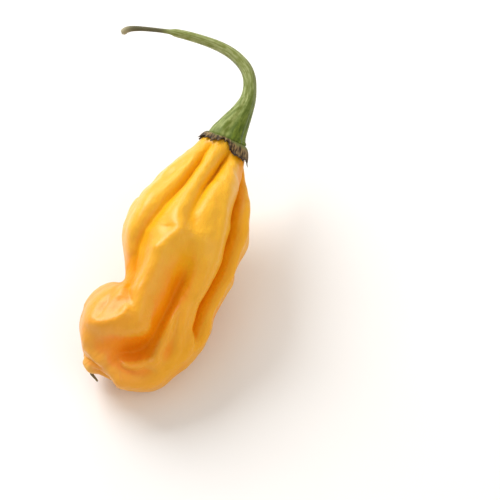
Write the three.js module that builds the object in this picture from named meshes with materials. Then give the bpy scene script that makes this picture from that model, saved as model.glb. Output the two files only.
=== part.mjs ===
// A wrinkled yellow-orange chilli pepper lying on its side, with its dry collar and curling green stem.
// The pod is drawn in a plane that leans back from the table, then laid down on a small flat spot.
// Millimetres, +Z up. The origin lies on the table, in that flat spot.

import * as THREE from 'three';
import { mergeVertices } from 'three/addons/utils/BufferGeometryUtils.js';

// Driving dimensions
const POD_LENGTH = 74.6;         // along the bent middle line, collar end to blossom end
const LEAN = THREE.MathUtils.degToRad(30);   // angle between the drawing plane and the table
const REST = new THREE.Vector3(0.0, -1.0, -14.6);   // where the leaning pod meets the table
const PLAIN_TOP = 2.6;           // folds fade out over this length below the stem
const COLLAR_GAP = 0.4;          // clear space between the pod and the dry collar
const COLLAR_THICKNESS = 0.6;
const COLLAR_ROOT = 0.7;         // the collar starts this far down the pod, under the stem
const STEM_RIBS = { count: 5, height: 0.05 };   // round the stem; the height is a share of its radius
const CROWDING = 0.55;           // how much closer the pod's facets are towards its two ends
const PINCH_REACH = 1.8;         // a crease pinches the skin this many of its widths to each side
const FULL_PINCH = 2;            // a crease this deep, or deeper, pinches with its full strength
const TIP = 0.0005;              // the pod's two end points stay this far inside its length

// Facets: round the pod, along the pod, and the same for the small pieces
const POD_FACETS = [92, 52];
const STEM_FACETS = [14, 56];
const COLLAR_FACETS = [72, 8];
const STYLE_FACETS = [6, 6];

const COLOURS = { pod: 0xf2a12c, stem: 0x6d8f35, collar: 0x5b4a30, style: 0x7d6f45 };

// Middle line of the pod: right, up and out of the drawing plane
const MIDDLE_LINE = [
  [16.3, 40.6, -11.3], [13.6, 34.2, -11.0], [10.7, 27.0, -9.2], [7.5, 19.0, -6.3], [4.0, 11.0, -3.2],
  [0.0, 2.4, -0.2], [-4.8, -6.1, 1.6], [-11.0, -13.6, 2.4], [-16.4, -18.4, 1.8], [-20.2, -21.2, 0.4],
];

// Half widths of the pod: along, then to the left, right, front and underside
const HALF_WIDTHS = [
  [0.0, 0, 0, 0, 0], [0.4, 4.2, 4.2, 4.0, 4.0], [0.9, 5.3, 5.3, 5.0, 5.0], [2.5, 6.5, 6.5, 6.0, 6.0],
  [5, 7.5, 7.4, 6.9, 6.9], [8, 9.2, 8.3, 8.2, 8.4], [12, 11.2, 10.5, 10.0, 10.4],
  [16, 13.2, 12.8, 11.8, 12.4],
  [20, 14.6, 14.5, 13.2, 14.2], [25, 16.8, 16.4, 14.8, 16.0], [30, 16.9, 16.3, 15.4, 17.2],
  [35, 16.0, 17.0, 15.5, 17.6], [40, 13.4, 16.4, 15.0, 17.2], [45, 10.8, 16.2, 14.4, 16.2],
  [48.5, 11.2, 17.3, 14.0, 15.4], [52, 13.4, 17.8, 13.7, 14.6], [56, 14.6, 17.5, 13.5, 13.8],
  [60, 14.8, 16.6, 13.4, 13.0], [64, 13.8, 15.8, 12.8, 11.8], [68, 11.7, 12.5, 11.0, 9.8],
  [71, 7.2, 4.9, 7.4, 6.6], [73, 4.4, 2.0, 3.6, 3.4], [74.6, 0, 0, 0, 0],
];

// Folds. A fold is a line on the skin that lifts it (ridge) or sinks it (crease). Each point is
// millimetres along the pod, degrees round it from the front (right is plus), height and half width.
// Sharpness is the power of the fall-off, and pinch draws the skin on both sides towards the line.
const crease = (...path) => ({ path, sharpness: 1.4, pinch: 0.35 });
const ridge = (...path) => ({ path, sharpness: 2, pinch: 0 });
const FOLDS = [
  // Long valley on the left, down to the waist, and the notch of the waist round the flank
  crease([3.5, -32, -1, 1.2], [6.5, -29, -1.7, 1.3], [9.5, -26, -2.2, 1.4], [13, -25, -2.3, 1.5],
    [16.5, -25, -2.3, 1.6], [19.5, -26, -2.3, 1.7], [22.5, -27, -2, 1.8], [26, -29, -1.8, 2],
    [29.5, -32, -1.6, 2.1], [33, -37, -1.6, 2.1], [36.5, -43, -1.5, 2], [39.5, -49, -1.3, 1.8],
    [42, -53, -1.1, 1.5], [44.5, -54, -0.9, 1.3], [46.5, -51, -0.8, 1.2], [48.5, -44, -0.8, 1.1],
    [50.5, -34, -0.7, 1.1], [53, -21, -0.4, 1.1]),
  ridge([47.3, -130, -0.6, 2], [47.2, -110, -1, 1.8], [47.4, -92, -1.2, 1.7], [48.4, -72, -1, 1.6],
    [49.6, -58, -0.7, 1.4], [50.5, -48, -0.3, 1.3]),
  // Short valley beside the tallest fold
  crease([3, 21, -1.4, 1.3], [5.5, 15, -2.2, 1.4], [9.5, 9, -2.4, 1.5], [13.5, 4, -2.3, 1.6],
    [18, 0, -2, 1.7], [22, -1, -1.5, 1.8], [25.5, -2, -1.1, 2], [29, -3, -0.9, 2.2], [32, -2, -0.5, 2.4]),
  // Long valley on the right
  crease([5.5, 86, -0.8, 1.2], [8.5, 79, -1.5, 1.4], [11.5, 67, -2.6, 1.7], [15, 57, -3.6, 1.8],
    [19, 49, -4.2, 1.9], [23, 46, -4.4, 1.9], [26, 48, -4.4, 1.9], [29.5, 50, -4.4, 1.9],
    [33, 52, -4.5, 1.9], [36, 54, -4.5, 2], [39.5, 55, -4.5, 2], [42.5, 55, -4.5, 2],
    [45.5, 55, -4.5, 2.2], [48, 54, -4.2, 2.2], [50, 54, -3.5, 1.8], [51.5, 57, -2, 1.5],
    [52.5, 59, -0.8, 1.3]),
  // Deep middle valley, which turns to the blossom end, and its sloping banks
  ridge([38, 16, -0.6, 2.2], [40, 16, -1.8, 2.5], [42.5, 17, -2.8, 2.6], [45, 18, -3, 2.6],
    [48, 19, -2.9, 2.6], [51, 19.5, -2.9, 2.7], [54, 21, -3.2, 2.9], [56.5, 24, -3.8, 3.2],
    [58.5, 27, -4.2, 3.6], [61, 27, -4.6, 3.8], [63, 22, -4.6, 3.8], [64.8, 15, -4, 3.4],
    [66.5, 10, -2.6, 2.6], [68, 10, -1.4, 1.8]),
  ridge([40, 14, -0.4, 4], [42.5, 14, -0.9, 4.2], [45.5, 15, -1.3, 4.4], [49, 15, -1.5, 4.4],
    [53, 15, -1.5, 4.4], [57, 13, -1.2, 4.4]),
  ridge([66, -12, -1.2, 3.4], [64.5, -4, -2, 3.8], [62.8, 4, -2.4, 4], [60.5, 10, -2.2, 3.8]),
  // Lobe on the left, with a shallow dent
  ridge([6.5, -45, 0.5, 2.6], [11, -44, 1.1, 3], [15, -46, 1.4, 3], [19.5, -45, 1.3, 3.3],
    [25, -44, 1.8, 3.7], [30, -46, 2, 3.9], [33.5, -50, 1.9, 3.9], [37, -56, 1.6, 3.8],
    [40, -63, 1.1, 3.6], [43.5, -69, 0.5, 3.4]),
  ridge([7, -31, 0.6, 1.6], [12, -31, 1.1, 1.6], [16, -31, 1.1, 1.6], [19, -32, 0.9, 1.6],
    [21.5, -35, 0.4, 1.6]),
  ridge([12, -40, -0.4, 1.5], [15, -43, -0.9, 1.5], [18.5, -45, -1, 1.5], [23, -43, -0.6, 1.5],
    [27, -41, -0.2, 1.5]),
  // Tallest lobe, with a sharp bend, and the cross ridge below the bend
  ridge([5.5, -9, 1.2, 2], [9.5, -9, 1.5, 2], [13.5, -10, 1.5, 2.1], [18, -11, 1.5, 2.2],
    [21.5, -12, 1.6, 2.4], [25.5, -12, 1.9, 2.6], [29, -11, 2.5, 2.8], [32, -8, 3, 2.8],
    [34, -6, 3.1, 2.6], [37, -10, 2.8, 2.6], [40, -16, 2.5, 2.7], [43, -19, 2.4, 2.8],
    [46, -20, 2.4, 2.9], [49, -18, 2.5, 3], [51, -14, 2.6, 3.1], [53.5, -9, 2.6, 3.4],
    [55.5, -4, 2.4, 3.6], [57, 3, 1.8, 3.8]),
  ridge([29.5, -18, 0.8, 2.6], [33, -20, 1.1, 2.8], [36, -22, 1.2, 2.6], [39, -23, 1, 2.2]),
  ridge([34, -2, 0.9, 2.6], [33, 9, 0.7, 2.8], [32, 20, 0.5, 2.8], [31, 27, 0.3, 2.8]),
  // Lobe right of the middle and its edge
  ridge([7, 36, 1, 1.8], [11.5, 26, 1.4, 2.2], [16, 18, 1.6, 2.6], [20.5, 13, 1.8, 3], [24, 11, 1.9, 3.4],
    [27.5, 12, 2, 3.8], [30, 16, 1.9, 4], [33.5, 20, 1.7, 4], [37, 24, 1.3, 3.8], [40, 28, 0.9, 3.6],
    [43, 31, 0.5, 3.2]),
  ridge([12.5, 34, 0.6, 1.8], [17.5, 27, 1, 1.8], [22, 25, 1.1, 1.8], [26, 27, 1.1, 1.8],
    [30, 30, 1, 1.8], [33.5, 32, 0.9, 1.8], [37.5, 34, 0.8, 1.8], [41, 36, 0.6, 1.8], [44, 36, 0.4, 1.8]),
  // Lobe on the right flank
  ridge([7.5, 90, 0.8, 2.4], [12.5, 74, 1.2, 2.4], [17.5, 62, 1.8, 2.4], [22, 57, 1.9, 2.4],
    [26, 57, 2, 2.4], [30, 58, 2.2, 2.4], [33.5, 59, 2.2, 2.4], [37, 61, 2.2, 2.4], [41, 62, 2.1, 2.4],
    [44, 63, 2, 2.4], [47, 63, 1.9, 2.4], [50, 63, 1.8, 2.4], [52, 63, 1.2, 2.4]),
  // Lower right lobe: its sharp left edge and shallow wrinkles
  ridge([45.5, 24, 0.6, 1.3], [47.5, 23.5, 1.6, 1.3], [50, 23, 2.4, 1.4], [52, 23.5, 2.9, 1.5],
    [54, 25, 3.1, 1.6], [56.5, 28, 3.1, 1.7], [58.5, 32, 3, 1.8], [60, 36, 2.4, 1.9], [61, 41, 1.4, 2]),
  ridge([48.5, 25, -0.4, 1.4], [51, 30, -0.6, 1.4], [53.5, 36, -0.7, 1.4], [56, 41, -0.5, 1.4],
    [58, 47, -0.3, 1.4]),
  ridge([48.5, 29, 0.6, 1.5], [51, 34, 0.9, 1.5], [54, 40, 0.9, 1.5], [56.5, 47, 0.6, 1.5],
    [59, 52, 0.4, 1.5]),
  ridge([50, 38, -0.3, 1.3], [52.5, 43, -0.6, 1.3], [54.5, 49, -0.5, 1.3], [57, 54, -0.3, 1.3]),
  ridge([52.5, 49, 0.9, 1.6], [54, 52, 1.1, 1.8], [56, 58, 0.8, 2]),
  // Ledge below the middle valley, the groove under it and the bulge below
  ridge([65.8, 14, 1.2, 1.2], [65.2, 21, 2.6, 1.3], [64, 27, 3.1, 1.4], [62.6, 31, 3, 1.4],
    [61.5, 35, 2, 1.4], [60.3, 37, 0.8, 1.3]),
  ridge([67, 22, -0.4, 1.6], [65.5, 33, -0.6, 1.8], [64.5, 41, -0.8, 1.8], [63, 45, -0.7, 1.8],
    [61, 45, -0.4, 1.6]),
  ridge([67.8, 34, 1, 2.4], [66.5, 42, 1.4, 2.8], [64.5, 50, 1.2, 3.2], [62.5, 55, 1, 3.2],
    [60, 58, 0.6, 3]),
  ridge([68.4, 36, 0.7, 1.6], [68.9, 48, 1, 1.7], [68.8, 60, 0.6, 1.6], [68.4, 70, 0.2, 1.5]),
  // Lower left lobe: its ridges, a faint groove and the bank over the middle valley
  ridge([52, -48, 0.6, 2.4], [55, -46, 1.1, 3], [58, -47, 1.5, 3.4], [61, -48, 1.7, 3.6],
    [63, -46, 1.7, 3.6], [65.5, -41, 1.4, 3.6], [67.5, -33, 1, 3.4]),
  ridge([53, -37, 0.4, 1.8], [55, -34, 0.9, 2.2], [58, -32, 1.1, 2.4], [61, -35, 0.9, 2.4],
    [63.5, -42, 0.5, 2.2]),
  ridge([51.5, -47, -0.05, 0.9], [53.5, -44, -0.15, 1], [56.7, -38.5, -0.2, 1], [59.9, -35, -0.2, 1],
    [62.3, -34, -0.1, 0.9]),
  ridge([52, -31, 0.6, 2], [55.5, -24, 0.9, 2.2], [57.5, -21, 1.1, 2.4], [59.5, -22, 1, 2.6],
    [62, -26, 0.8, 2.6]),
  ridge([50.5, -43, 0.3, 1.2], [52, -38, 0.5, 1.3], [53.5, -33, 0.3, 1.3]),
  ridge([56, -16, 1, 1.5], [58, -15, 1.5, 1.7], [60, -19, 1.5, 1.9], [61.8, -25, 1.2, 2],
    [63.2, -34, 0.9, 2]),
  ridge([56.5, 6, 0.8, 2.4], [58.5, -1, 1.1, 2.4], [60.5, -9, 1.2, 2.4], [62, -17, 1.1, 2.6],
    [64, -25, 0.9, 2.6], [67, -30, 0.6, 2.6]),
  // Lips round the blossom end
  ridge([69.5, -30, 0.5, 1.3], [69, -17, 0.7, 1.3], [69, -5, 0.8, 1.3], [68.5, 6, 0.7, 1.3],
    [68.5, 19, 0.5, 1.3]),
  ridge([71.1, 12, -0.6, 1.2], [70.6, 28, -1, 1.4], [70.2, 40, -0.8, 1.4]),
  ridge([72.5, -54, -0.6, 0.8], [71.2, -25, -0.7, 0.8], [70.3, -5, -0.7, 0.8], [70, 10, -0.5, 0.8]),
  ridge([72.3, -20, 1, 1.6], [72, 0, 1, 1.6]),
  // Valleys on the underside, between the lobes it rests on, and on the flanks
  crease([3, -128, -1.6, 1.8], [12, -130, -2.9, 2.2], [24, -128, -3.4, 2.6], [36, -133, -3.4, 2.8],
    [48, -128, -3.4, 3], [60, -132, -2.6, 3], [68, -120, -1.3, 2.6]),
  crease([3, 128, -1.6, 1.8], [14, 122, -2.9, 2.2], [28, 128, -3.6, 2.6], [42, 120, -3.4, 2.8],
    [55, 126, -3.1, 3], [66, 120, -1.6, 2.6]),
  crease([3, 170, -1.3, 1.8], [12, 165, -2.3, 2], [22, 168, -1.6, 2.4], [29, 162, -0.5, 2.4]),
  crease([58, 176, -1, 2], [63, 170, -2, 2.2], [68, 165, -1.4, 1.8]),
  crease([30, 100, -0.6, 1.8], [33, 86, -1.4, 1.8], [35, 76, -0.8, 1.6]),
  crease([20, -100, -0.6, 1.8], [24, -84, -1.2, 1.8], [27, -72, -0.6, 1.6]),
];

// Stem, from the cup on the collar to the dry end: right, up, out, radius
const STEM_LINE = [
  [16.38, 40.75, -11.3, 0], [16.4, 40.8, -11.3, 5.2], [16.5, 41.05, -11.3, 5.4],
  [16.9, 42.0, -11.35, 5.05], [17.75, 43.5, -11.5, 4.4], [18.9, 45.4, -11.9, 3.8],
  [20.1, 47.4, -12.5, 3.15], [21.3, 49.7, -13.3, 2.55], [22.2, 52.0, -14.2, 2.1],
  [22.6, 54.6, -15.2, 1.82], [22.5, 57.5, -16.2, 1.72], [21.6, 60.2, -17.0, 1.66],
  [19.7, 62.7, -17.7, 1.58], [17.0, 64.9, -18.2, 1.5], [13.6, 66.7, -18.5, 1.4],
  [9.5, 68.2, -18.5, 1.3], [5.7, 69.3, -18.3, 1.24], [2.3, 70.1, -18.1, 1.08], [0.6, 70.4, -18.0, 0.68],
  [-4.6, 71.0, -17.6, 0.62], [-8.6, 71.2, -17.2, 0.74], [-10.8, 70.9, -16.9, 0.86],
  [-12.0, 70.1, -16.7, 0.82], [-12.3, 69.6, -16.65, 0],
];

// Edge of the dry collar: degrees round from the front, distance down the pod
const COLLAR_EDGE = [
  [-180, 3.4], [-160, 4.2], [-140, 3.0], [-115, 3.2], [-95, 2.4], [-84, 2.9], [-70, 2.1], [-45, 2.0],
  [-28, 2.1], [-10, 1.2], [4, 1.1], [14, 2.0], [30, 3.4], [48, 4.2], [62, 4.0], [78, 4.8], [92, 3.6],
  [120, 3.2], [140, 4.1], [160, 3.1], [180, 3.4],
];

// Dry thread at the blossom end: right, up, out, radius
const STYLE_LINE = [
  [-19.8, -21.9, 0.7, 0], [-19.7, -22.0, 0.7, 0.42], [-19.1, -22.9, 0.6, 0.36],
  [-18.5, -23.6, 0.5, 0.3], [-18.0, -24.3, 0.5, 0.22], [-17.95, -24.4, 0.5, 0],
];

// Value of a smooth curve through rows of [place, value, value, ...] at one place
function along(rows, place) {
  let i = 0;
  while (i < rows.length - 2 && rows[i + 1][0] < place) i += 1;
  const before = rows[Math.max(i - 1, 0)];
  const here = rows[i];
  const next = rows[i + 1];
  const after = rows[Math.min(i + 2, rows.length - 1)];
  const span = next[0] - here[0];
  const t = THREE.MathUtils.clamp((place - here[0]) / span, 0, 1);
  return here.slice(1).map((value, k) => {
    const slope0 = (next[k + 1] - before[k + 1]) / (next[0] - before[0]);
    const slope1 = (after[k + 1] - value) / (after[0] - here[0]);
    return (2 * t ** 3 - 3 * t ** 2 + 1) * value + (t ** 3 - 2 * t ** 2 + t) * span * slope0
      + (3 * t ** 2 - 2 * t ** 3) * next[k + 1] + (t ** 3 - t ** 2) * span * slope1;
  });
}

// Rows of points with the distance along them put in front, up to a given length
function measured(rows, dimensions, length) {
  let sum = 0;
  const places = rows.map((row, i) => {
    if (i > 0) {
      const steps = row.slice(0, dimensions).map((value, k) => value - rows[i - 1][k]);
      sum += Math.hypot(...steps);
    }
    return sum;
  });
  const scale = length ? length / sum : 1;
  return rows.map((row, i) => [places[i] * scale, ...row]);
}

const MIDDLE = measured(MIDDLE_LINE, 2, POD_LENGTH);
const SQUARED_WIDTHS = HALF_WIDTHS.map(([place, ...widths]) => [place, ...widths.map((w) => w * w)]);

function middle(place) {
  return new THREE.Vector3(...along(MIDDLE, THREE.MathUtils.clamp(place, 0, POD_LENGTH)));
}

// Point of the smooth pod, before its folds
function smoothSkin(place, round) {
  const [left, right, front, under] = along(SQUARED_WIDTHS, place).map((w) => Math.sqrt(Math.max(w, 0)));
  const tangent = middle(place + 0.01).sub(middle(place - 0.01)).normalize();
  const side = new THREE.Vector3(0, 0, 1).cross(tangent).normalize();
  if (side.x < 0) side.negate();
  const out = side.clone().cross(tangent).normalize();
  if (out.z < 0) out.negate();
  const across = Math.sin(round);
  const deep = Math.cos(round);
  return middle(place)
    .addScaledVector(side, across * (across < 0 ? left : right))
    .addScaledVector(out, deep * (deep > 0 ? front : under));
}

function skinNormal(place, round) {
  const step = 0.002;
  const near = THREE.MathUtils.clamp(place, 0.05, POD_LENGTH - 0.05);
  const down = smoothSkin(near + step, round).sub(smoothSkin(near - step, round));
  const across = smoothSkin(near, round + step).sub(smoothSkin(near, round - step));
  const normal = down.cross(across).normalize();
  const outward = smoothSkin(near, round).sub(middle(near));
  return normal.dot(outward) < 0 ? normal.negate() : normal;
}

// Each fold's line, smoothed and laid on the skin: point, height, half width
const FOLD_LINES = FOLDS.map(({ path, sharpness, pinch }) => {
  const steps = 4;
  const rows = path.map((row, i) => [i, ...row]);
  const line = [];
  for (let i = 0; i <= (rows.length - 1) * steps; i += 1) {
    const [place, degrees, height, width] = along(rows, i / steps);
    line.push({ point: smoothSkin(place, THREE.MathUtils.degToRad(degrees)), height, width });
  }
  return { line, sharpness, pinch };
});

function nearestOnLine(line, point) {
  let best = { distance: Infinity };
  for (let i = 0; i < line.length - 1; i += 1) {
    const a = line[i];
    const b = line[i + 1];
    const run = b.point.clone().sub(a.point);
    const t = THREE.MathUtils.clamp(point.clone().sub(a.point).dot(run) / run.lengthSq(), 0, 1);
    const foot = a.point.clone().addScaledVector(run, t);
    const distance = foot.distanceTo(point);
    if (distance < best.distance) {
      const height = THREE.MathUtils.lerp(a.height, b.height, t);
      const width = THREE.MathUtils.lerp(a.width, b.width, t);
      best = { distance, foot, height, width };
    }
  }
  return best;
}

// Point of the folded pod, raised above its skin by a given amount
function skin(place, round, raised = 0) {
  const base = smoothSkin(place, round);
  const normal = skinNormal(place, round);
  const point = base.clone();
  let height = raised;
  for (const { line, sharpness, pinch } of FOLD_LINES) {
    const near = nearestOnLine(line, base);
    height += near.height * Math.exp(-((near.distance / near.width) ** sharpness));
    if (pinch > 0) {
      const away = base.clone().sub(near.foot);
      away.addScaledVector(normal, -away.dot(normal));
      const pull = Math.exp(-((near.distance / (PINCH_REACH * near.width)) ** 2));
      point.addScaledVector(away, -pinch * pull * Math.min(Math.abs(near.height) / FULL_PINCH, 1));
    }
  }
  // The top under the collar stays plain
  const plain = THREE.MathUtils.smoothstep(place, 0, PLAIN_TOP);
  return base.lerp(point.addScaledVector(normal, height - raised), plain).addScaledVector(normal, raised);
}

// From the drawing plane to the table, with the origin at the flat spot and nothing below it
function laid(point) {
  const onTable = point.clone().applyAxisAngle(new THREE.Vector3(1, 0, 0), LEAN).sub(REST);
  onTable.z = Math.max(onTable.z, 0);
  return onTable;
}

// Turns the triangles round where a bend has left the closed surface facing inwards
function faceOutwards(geometry) {
  const positions = geometry.getAttribute('position');
  const index = geometry.index.array;
  const corner = (i) => new THREE.Vector3().fromBufferAttribute(positions, index[i]);
  let volume = 0;
  for (let i = 0; i < index.length; i += 3) {
    volume += corner(i).dot(corner(i + 1).cross(corner(i + 2))) / 6;
  }
  if (volume > 0) return;
  for (let i = 0; i < index.length; i += 3) {
    [index[i + 1], index[i + 2]] = [index[i + 2], index[i + 1]];
  }
}

// A three.js geometry bent to a new form: every vertex is moved by the function place
function bend(geometry, place) {
  geometry.deleteAttribute('normal');
  geometry.deleteAttribute('uv');
  const merged = mergeVertices(geometry, 1e-5);
  const positions = merged.getAttribute('position');
  for (let i = 0; i < positions.count; i += 1) {
    const point = place(new THREE.Vector3().fromBufferAttribute(positions, i));
    positions.setXYZ(i, point.x, point.y, point.z);
  }
  faceOutwards(merged);
  merged.computeVertexNormals();
  return merged;
}

// Fraction down a unit ball from its top, and angle round it
function onBall(point) {
  const fraction = Math.acos(THREE.MathUtils.clamp(point.y, -1, 1)) / Math.PI;
  return [fraction, Math.atan2(point.x, point.z)];
}

function pod() {
  const ball = new THREE.SphereGeometry(1, ...POD_FACETS);
  return bend(ball, (vertex) => {
    const [fraction, round] = onBall(vertex);
    const turn = 2 * Math.PI;
    const place = POD_LENGTH * (fraction - CROWDING * Math.sin(turn * fraction) / turn);
    return laid(skin(THREE.MathUtils.clamp(place, TIP, POD_LENGTH - TIP), round));
  });
}

// A solid rod through rows of right, up, out and radius, closed where the radius is nought
function rod(rows, facets, ripple = () => 1) {
  const line = measured(rows, 4);
  const length = line[line.length - 1][0];
  const centre = (place) => new THREE.Vector3(...along(line, THREE.MathUtils.clamp(place, 0, length)));
  return bend(new THREE.SphereGeometry(1, ...facets), (vertex) => {
    const [fraction, round] = onBall(vertex);
    const place = fraction * length;
    const radius = along(line, place)[3];
    // Both flat ends are square to the line where they start
    const near = THREE.MathUtils.clamp(place, line[1][0], line[line.length - 2][0]);
    const tangent = centre(near + 0.2).sub(centre(near - 0.2)).normalize();
    const side = new THREE.Vector3(0, 0, 1).cross(tangent).normalize();
    const out = side.clone().cross(tangent).normalize();
    const swell = Math.max(radius, 0) * ripple(place, round);
    return laid(centre(place)
      .addScaledVector(side, Math.sin(round) * swell)
      .addScaledVector(out, Math.cos(round) * swell));
  });
}

function collar() {
  const ring = new THREE.TorusGeometry(2, 1, COLLAR_FACETS[1], COLLAR_FACETS[0]);
  return bend(ring, (vertex) => {
    const round = Math.atan2(vertex.x, vertex.y);
    const outwards = Math.hypot(vertex.x, vertex.y) - 2;
    const [edge] = along(COLLAR_EDGE, THREE.MathUtils.radToDeg(round));
    const place = THREE.MathUtils.lerp(COLLAR_ROOT, edge, (outwards + 1) / 2);
    const raised = COLLAR_GAP + COLLAR_THICKNESS * (vertex.z + 1) / 2;
    return laid(skin(place, round, raised));
  });
}

function piece(name, geometry, colour, roughness) {
  const material = new THREE.MeshStandardMaterial({ color: colour, roughness, metalness: 0 });
  const mesh = new THREE.Mesh(geometry, material);
  mesh.name = name;
  return mesh;
}

const ribs = (place, round) => 1 + STEM_RIBS.height * Math.cos(STEM_RIBS.count * round);

const pepper = new THREE.Group();
pepper.add(
  piece('pod', pod(), COLOURS.pod, 0.35),
  piece('calyx_rim', collar(), COLOURS.collar, 0.9),
  piece('stem', rod(STEM_LINE, STEM_FACETS, ribs), COLOURS.stem, 0.5),
  piece('style_remnant', rod(STYLE_LINE, STYLE_FACETS), COLOURS.style, 0.9),
);

export default pepper;
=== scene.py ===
"""Looks of a wrinkled yellow-orange chilli pepper: skin, stem, dry calyx rim and style thread.

The pod is drawn in a plane that leans back from the table, as in the part's own source,
and every length below is in millimetres until it is laid in the frame.
"""

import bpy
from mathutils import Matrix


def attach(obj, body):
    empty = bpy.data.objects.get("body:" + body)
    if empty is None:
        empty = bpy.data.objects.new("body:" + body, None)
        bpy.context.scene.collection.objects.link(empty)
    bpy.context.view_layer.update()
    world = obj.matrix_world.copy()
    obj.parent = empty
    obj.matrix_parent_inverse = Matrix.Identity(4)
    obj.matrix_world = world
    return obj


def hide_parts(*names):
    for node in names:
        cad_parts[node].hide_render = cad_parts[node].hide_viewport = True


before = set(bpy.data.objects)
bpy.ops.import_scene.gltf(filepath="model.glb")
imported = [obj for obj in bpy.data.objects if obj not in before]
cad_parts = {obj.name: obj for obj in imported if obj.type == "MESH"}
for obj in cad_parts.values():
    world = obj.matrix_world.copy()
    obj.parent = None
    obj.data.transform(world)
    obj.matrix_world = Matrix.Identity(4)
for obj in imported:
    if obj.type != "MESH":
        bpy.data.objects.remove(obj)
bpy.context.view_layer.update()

import math

import bpy
import numpy as np
from mathutils import Vector

MM = 0.001                             # a millimetre in metres

# Driving dimensions, the same as the part's
POD_LENGTH = 74.6                      # along the bent middle line, collar end to blossom end
LEAN = math.radians(30)                # angle between the drawing plane and the table
REST = np.array([0.0, -1.0, -14.6])    # where the leaning pod meets the table
PLAIN_TOP = 2.6                        # folds fade out over this length below the stem
COLLAR_GAP = 0.4                       # clear space between the pod and the dry collar
COLLAR_THICKNESS = 0.6
COLLAR_ROOT = 0.7                      # the collar starts this far down the pod, under the stem
CROWDING = 0.55                        # how much closer the pod's rows are towards its two ends
PINCH_REACH = 1.8                      # a crease pinches the skin this many of its widths to each side
FULL_PINCH = 2.0                       # a crease this deep, or deeper, pinches with its full strength

# Ragged edge of the dry collar
COLLAR_TEETH = {"count": 9, "sway": 1.4, "sways": 2}    # count is for half a turn, sway makes it uneven
COLLAR_NICKS = {"count": 23, "sway": 2.1, "sways": 5}   # smaller points, the same way
COLLAR_TOOTH = 0.8                     # how far a tooth stands out
TOOTH_POWER = 1.5                      # more makes the teeth narrower
TOOTH_BASE, NICK_BASE = 0.3, 0.5       # what is taken off them, to keep the edge where it is
NICK_SHARE = 0.3                       # a nick's size, as a share of a tooth's
COLLAR_THINNING = 0.6                  # share of the thickness that is lost towards the edge
COLLAR_CURL = 0.35                     # lift of the edge
CURL_POWER = 4                         # more keeps the curl nearer the edge
COLLAR_LONGEST = 4.8                   # the edge is nowhere further down the pod than this
COLLAR_SEAT = 0.35                     # extra lift where the collar meets the stem

# Ribs round the stem and the thread: the heights are shares of the radius
STEM_RIBS = {"count": 5, "height": 0.045, "start": 0.6}
STEM_GROOVES = {"count": 11, "height": 0.02, "twist": 9}
RIB_FADE = 1.3                         # strength of the ribs at the cup, which falls by one to the dry end
STYLE_RIBS = {"count": 3, "height": 0.08}

# Rows and columns of the fine meshes
POD_GRID = (340, 340)
STEM_GRID = (420, 96)
COLLAR_GRID = (40, 360)
STYLE_GRID = (60, 24)
POD_END, ROD_END = 0.002, 0.0005       # the first and last rows stop short of the ends by this share
HOLLOW_STEPS = (1, 2, 4, 8, 14)        # rows and columns over which a hollow is told from its surroundings
SOFT_STEPS = (4, 8, 12)                # and over which its colour spreads

# Small steps for directions and distances
POD_STEP = 0.01
SKIN_STEP = 0.002
SKIN_MARGIN = 0.05                     # the skin's direction is taken at least this far from the pod's ends
ROD_STEP = 0.2
TINY = 1e-12
LINE_STEPS = 5                         # points on a fold's line for each one given
FOLD_REACH = 3.2                       # a fold ends this many of its widths away

# Shallow dents all over the skin, in millimetres
DENT_SEED = 11
DENT_WAVES = 40
DENT_LENGTHS = (2.4, 7.0)
DENT_HEIGHT = 0.055

# Middle line of the pod: right, up and out of the drawing plane
MIDDLE_LINE = [
    (16.3, 40.6, -11.3), (13.6, 34.2, -11.0), (10.7, 27.0, -9.2), (7.5, 19.0, -6.3), (4.0, 11.0, -3.2),
    (0.0, 2.4, -0.2), (-4.8, -6.1, 1.6), (-11.0, -13.6, 2.4), (-16.4, -18.4, 1.8), (-20.2, -21.2, 0.4),
]

# Half widths of the pod: along, then to the left, right, front and underside
HALF_WIDTHS = [
    (0.0, 0, 0, 0, 0), (0.4, 4.2, 4.2, 4.0, 4.0), (0.9, 5.3, 5.3, 5.0, 5.0), (2.5, 6.5, 6.5, 6.0, 6.0),
    (5, 7.5, 7.4, 6.9, 6.9), (8, 9.2, 8.3, 8.2, 8.4), (12, 11.2, 10.5, 10.0, 10.4),
    (16, 13.2, 12.8, 11.8, 12.4), (20, 14.6, 14.5, 13.2, 14.2), (25, 16.8, 16.4, 14.8, 16.0),
    (30, 16.9, 16.3, 15.4, 17.2), (35, 16.0, 17.0, 15.5, 17.6), (40, 13.4, 16.4, 15.0, 17.2),
    (45, 10.8, 16.2, 14.4, 16.2), (48.5, 11.2, 17.3, 14.0, 15.4), (52, 13.4, 17.8, 13.7, 14.6),
    (56, 14.6, 17.5, 13.5, 13.8), (60, 14.8, 16.6, 13.4, 13.0), (64, 13.8, 15.8, 12.8, 11.8),
    (68, 11.7, 12.5, 11.0, 9.8), (71, 7.2, 4.9, 7.4, 6.6), (73, 4.4, 2.0, 3.6, 3.4), (74.6, 0, 0, 0, 0),
]


# Folds, the lines on the skin that lift it, or sink it where their height is minus
def crease(*path):
    """A sharp fold, which draws the skin on both sides of its line towards it.

    Each point is millimetres along the pod, degrees round it from the front (right is plus),
    height and half width. Sharpness is the power of the height's fall-off.
    """
    return {"path": path, "sharpness": 1.4, "pinch": 0.35}


def ridge(*path):
    """A round fold, with the same kind of points."""
    return {"path": path, "sharpness": 2.0, "pinch": 0.0}


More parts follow.
